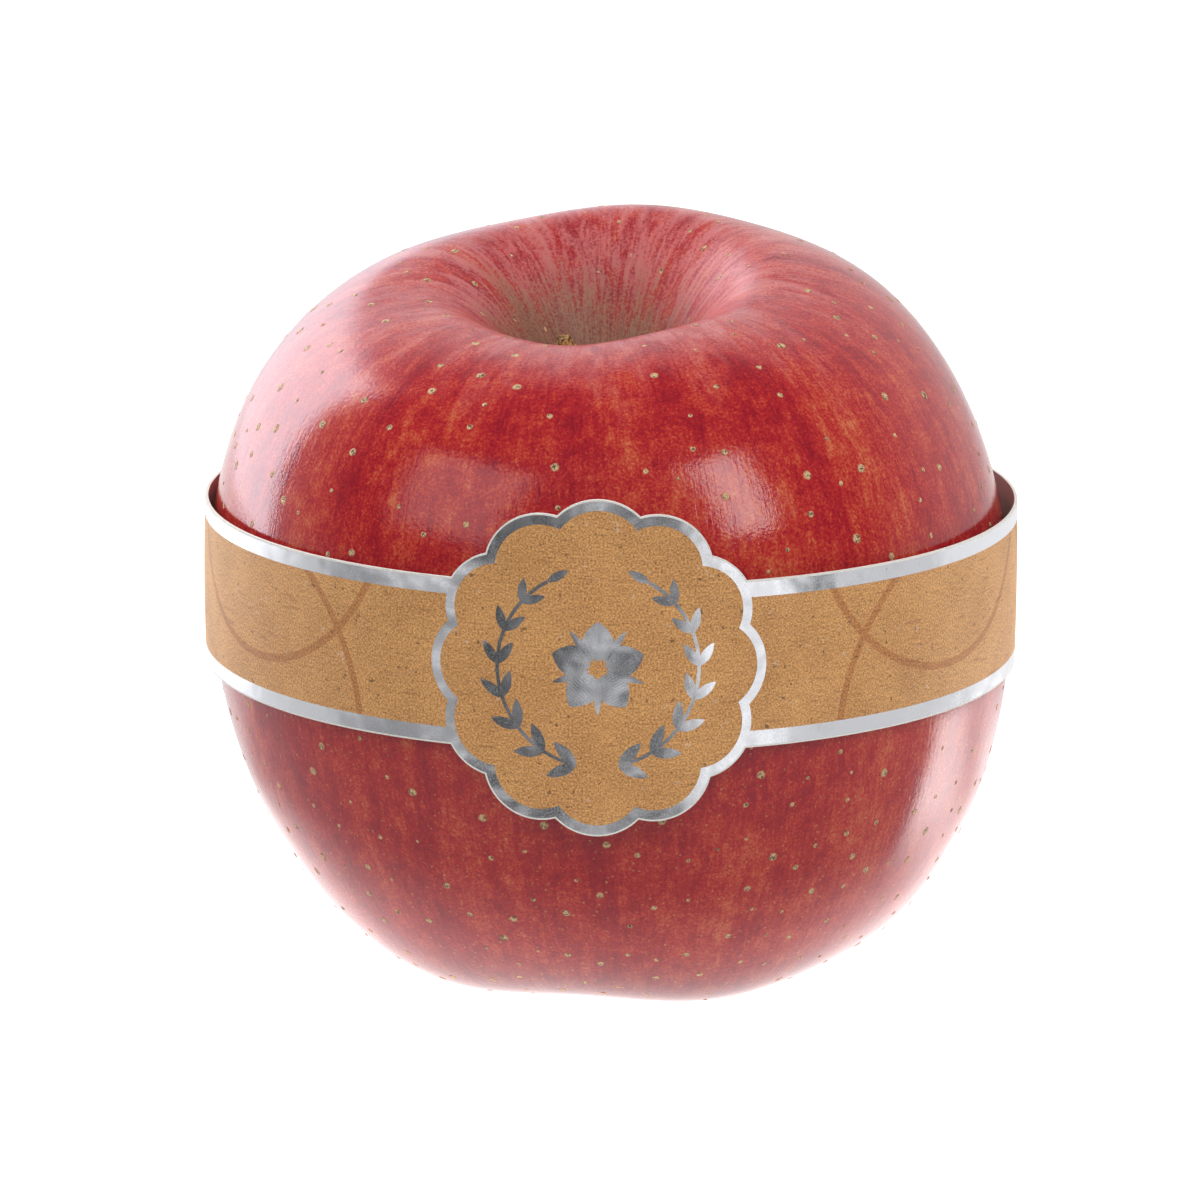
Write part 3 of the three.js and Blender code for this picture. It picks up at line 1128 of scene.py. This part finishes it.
def growCalyx(tree, size):
    seed = size["Seed"]
    root = size["Root Radius"]
    join = addNode(tree, "GeometryNodeJoinGeometry")
    chance = [randomValue(tree, *limits, seed + k) for k, limits in enumerate(calyx["spread"].values())]
    tilt, spin, scale = chance[:3]
    spin = spin + pi / 2
    feed(tree, join.inputs[0], ringOfCopies(size["Geometry"], size["Sepals"], root, tilt, spin, scale))
    # withered threads in two rings
    down = size["Thread Length"] * -1
    path = addNode(tree, "GeometryNodeCurvePrimitiveBezierSegment", {
        "Resolution": 7, "Start": (0.0, 0.0, 0.0), "Start Handle": combine(0.0, 0.0, down * 0.4),
        "End Handle": combine(down * -0.1, 0.0, down * 0.8), "End": combine(down * -0.3, 0.0, down)})
    thread = tube(tree, path, circle(tree, 6, size["Thread Radius"]))
    for share, count in ((0.8, size["Threads"]), (0.42, size["Threads"] * 0.5)):
        feed(tree, join.inputs[0], ringOfCopies(thread, count, root * share, *chance[3:]))
    # the swollen root that closes the basin
    dome = addNode(tree, "GeometryNodeMeshUVSphere", {"Segments": 24, "Rings": 12, "Radius": root * 1.55})
    squashed = addNode(tree, "GeometryNodeTransform", {"Geometry": dome, "Scale": (1.0, 1.0, 0.42)})
    swell = (noise(readPosition(tree), 1100.0, 3.0, 0.7) - 0.5) * size["Knob"]
    feed(tree, join.inputs[0], pushOut(squashed, swell))
    return addNode(tree, "GeometryNodeTransform", {
        "Geometry": join, "Translation": combine(size["Middle X"], 0.0, size["Root Height"])})


calyxPiece = runTree("calyxSepals", sepalMesh(), growCalyx, calyx, sepal)
print("calyx dried:", len(calyxPiece.data.polygons), "faces")

# every piece rides on the root body; the first four hide the node they stand for
for piece, node, slot in (
    (apple, "apple", "skin"), (stemPiece, "stem", "stalk"), (calyxPiece, "calyx", "sepals"),
    (paper, "paper_band", "kraft_paper"),
):
    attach(piece, "root")
    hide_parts(node)
for piece, slot in ((spots, "skin"), (foilEdges, "kraft_paper"), (emblem, "kraft_paper")):
    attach(piece, "root")
print("pieces placed")


# white sweep, soft lights and the camera

middle = Vector((0.0, 0.0, 0.044))
studio = {
    "floorFront": 0.13,
    "floorBack": 4.0,
    "floorGlow": 0.25,
    "floorLeftGlow": 0.1125,
    "floorBackGlow": 0.5,
    "floorFootGlow": 1.3,
    "floorPatchGlow": 4.8,
    "floorPatchEdges": (   # slant of each, where it starts and ends, least light past it
        (0.3, -0.035, -0.027, 0.0),
        (0.55, -0.005, -0.050, 0.15),
        (0.0, 0.12, 0.06, 0.0),
    ),
    "floorSeen": 0.85,
    "worldBack": 0.85,
    "worldFront": 0.15,
    "worldLow": (0.105, 0.798),
    "worldLeast": 0.05,
    "worldPatches": (   # place, size and change of each
        ((0.60, -0.76, -0.23), 0.45, 0.6),
        ((-0.97, -0.18, -0.16), 0.22, 0.35),
        ((-0.74, -0.62, -0.21), 0.30, 0.30),
        ((-0.46, -0.87, -0.25), 0.34, -0.50),
        ((-0.92, -0.26, -0.36), 0.22, -0.40),
    ),
    "lensMm": 225.0,
    "sensorMm": 36.0,
    "cameraDistance": 0.9,
    "cameraElevationDeg": 13.4,
    "aim": (-0.00127, -0.00016, 0.04332),
}
lamps = (   # name, azimuth, elevation, roll, distance, width, height, watts, seen in gloss
    ("leftSoftbox", -132.0, 28.0, 0.0, 0.8, 0.95, 0.66, 5.6, False),
    ("frontLeftSoftbox", -50.0, 36.0, 0.0, 0.9, 0.50, 0.50, 1.3, True),
    ("frontRightSoftbox", 44.0, 38.5, 4.0, 0.9, 0.21, 0.46, 1.75, True),
    ("frontFill", 0.0, 46.0, 0.0, 1.0, 0.9, 0.7, 3.2, False),
    ("topFill", 0.0, 86.0, 0.0, 0.9, 0.9, 0.9, 1.8, False),
    ("rightFill", 95.0, 38.0, 0.0, 0.4, 0.25, 0.25, 0.28, False),
)
sheen = {   # a graded card on the left, seen only in the gloss
    "azimuth": -145.0,
    "elevation": 20.0,
    "distance": 0.9,
    "near": 7.2,
    "far": 0.9,
    "tint": (0.94, 0.98, 1.06),
    "softEdges": ((1, 0.07), (2, 0.15)),
    "corners": ((-113.0, -3.0), (-126.0, 55.0), (-160.0, 35.0), (-180.0, 16.0), (-180.0, -3.0)),
}


def heading(azimuth, elevation):
    turn = radians(azimuth)
    rise = radians(elevation)
    return Vector((sin(turn) * cos(rise), -cos(turn) * cos(rise), sin(rise)))


def stageSheet(name, corners, finish):
    sheet = bpy.data.meshes.new(name)
    sheet.from_pydata(corners, (), (tuple(range(len(corners))),))
    sheet.materials.append(finish)
    piece = meshPiece(name, sheet)
    return piece


def makeFloor():
    material, tree = newShader("whiteFloor")
    place = objectPlace(tree)
    across, back, none = separate(place)
    # duller where the foil mirrors it on the left
    gloom = ramp(across, -0.06, -0.11) * ramp(back, -0.05, -0.09)
    shade = ramp(noise(place, 40.0), 0.3, 0.7, 0.40, 0.42) * ramp(gloom, 0.0, 1.0, 1.0, 0.3)
    # lit from below: less on the left, more under the fruit, most behind a slanted line on the right
    glow = ramp(across, -0.12, 0.0, studio["floorLeftGlow"], studio["floorGlow"])
    glow = ramp(ramp(back, 0.03, 0.07), 0.0, 1.0, glow, studio["floorBackGlow"])
    foot = vectorCalc("DISTANCE", place, (0.0, 0.02, 0.0))
    glow = glow + ramp(foot, 0.076, 0.045, 0.0, studio["floorFootGlow"])
    patch = ramp(across, 0.044, 0.078) * ramp(across, 0.14, 0.118)
    for slant, start, end, least in studio["floorPatchEdges"]:
        patch = patch * ramp(back - across * slant, start, end, least)
    glow = patch * studio["floorPatchGlow"] + glow
    seen = output(tree, "ShaderNodeLightPath", key="Is Camera Ray")
    setShader(material, {
        "Base Color": even(shade), "Roughness": 0.6, "Emission Color": (1.0, 1.0, 1.0),
        "Emission Strength": calc("MAXIMUM", glow, seen * studio["floorSeen"])})
    near = -studio["floorFront"]
    far = studio["floorBack"]
    stageSheet("floor", ((-far, near, 0.0), (far, near, 0.0), (far, far, 0.0), (-far, far, 0.0)), material)


def makeWorld():
    world = bpy.data.worlds.new("studioWorld")
    bpy.context.scene.world = world
    world.use_nodes = True
    tree = world.node_tree
    ray = output(tree, "ShaderNodeTexCoord", key="Generated")
    x, y, z = separate(ray)
    behind = calc("MAXIMUM", z, 0.0) * -0.4 + (calc("ABSOLUTE", x) * 0.3 + y)
    # the low front is uneven, with pale and dark patches, which enlivens the foil
    cloud = ramp(noise(ray, 5.0, 1.0), 0.38, 0.62, *studio["worldLow"])
    front = ramp(ramp(z, 0.12, -0.02), 0.0, 1.0, studio["worldFront"], cloud)
    glow = ramp(behind, 0.0, 0.7, front, studio["worldBack"])
    for place, size, change in studio["worldPatches"]:
        glow = glow + ramp(vectorCalc("DISTANCE", ray, place), size, 0.2 * size, 0.0, change)
    seen = output(tree, "ShaderNodeLightPath", key="Is Camera Ray")
    glow = calc("MAXIMUM", calc("MAXIMUM", glow, studio["worldLeast"]), seen)
    sky = tree.nodes["Background"]
    feed(tree, sky.inputs["Color"], (1.0, 1.0, 1.0))
    feed(tree, sky.inputs["Strength"], glow)


def makeLamps():
    for name, azimuth, elevation, roll, distance, width, height, watts, gloss in lamps:
        light = bpy.data.lights.new(name, "AREA")
        light.shape = "RECTANGLE"
        light.size = width
        light.size_y = height
        light.energy = watts
        lamp = meshPiece(name, light)
        toward = heading(azimuth, elevation)
        lamp.location = middle + toward * distance
        spin = Matrix.Rotation(radians(roll), 3, "Z")
        lamp.rotation_euler = (toward.to_track_quat("Z", "Y").to_matrix() @ spin).to_euler()
        lamp.visible_camera = False
        lamp.visible_glossy = gloss


def makeCamera():
    camera = bpy.data.cameras.new("camera")
    camera.lens = studio["lensMm"]
    camera.sensor_width = studio["sensorMm"]
    camera.sensor_fit = "HORIZONTAL"
    eye = meshPiece("camera", camera)
    rise = radians(studio["cameraElevationDeg"])
    back = Vector((0.0, -cos(rise), sin(rise))) * studio["cameraDistance"]
    eye.location = Vector(studio["aim"]) + back
    eye.rotation_euler = (pi / 2 - rise, 0.0, 0.0)
    bpy.context.scene.camera = eye
    bpy.context.scene.view_settings.view_transform = "Standard"


def makeSheen():
    toward = heading(sheen["azimuth"], sheen["elevation"])
    rays = [heading(azimuth, elevation) for azimuth, elevation in sheen["corners"]]
    corners = [middle + ray * (sheen["distance"] / ray.dot(toward)) for ray in rays]
    material, tree = newShader("sheenGlow")
    place = objectPlace(tree)
    reach = [corner.y for corner in corners]
    fade = ramp(separate(place)[1], min(reach), max(reach), 1.0, 0.0, smooth=False) ** 1.8
    glow = ramp(fade, 0.0, 1.0, sheen["far"], sheen["near"], smooth=False)
    for k, width in sheen["softEdges"]:
        inward = (corners[k + 1] - corners[k]).cross(toward).normalized()
        if inward.dot(corners[0] - corners[k]) < 0:
            inward = -inward
        edge = inward.dot(corners[k])
        inside = vectorCalc("DOT_PRODUCT", place, tuple(inward))
        glow = ramp(inside, edge, edge + width, sheen["far"], glow)
    setShader(material, {
        "Base Color": (0.0, 0.0, 0.0), "Emission Color": sheen["tint"], "Emission Strength": glow})
    panel = stageSheet("leftSheen", corners, material)
    panel.visible_camera = False
    panel.visible_diffuse = False
    panel.visible_shadow = False


makeFloor()
makeWorld()
makeLamps()
makeCamera()
makeSheen()
print("studio set")

bpy.context.view_layer.update()
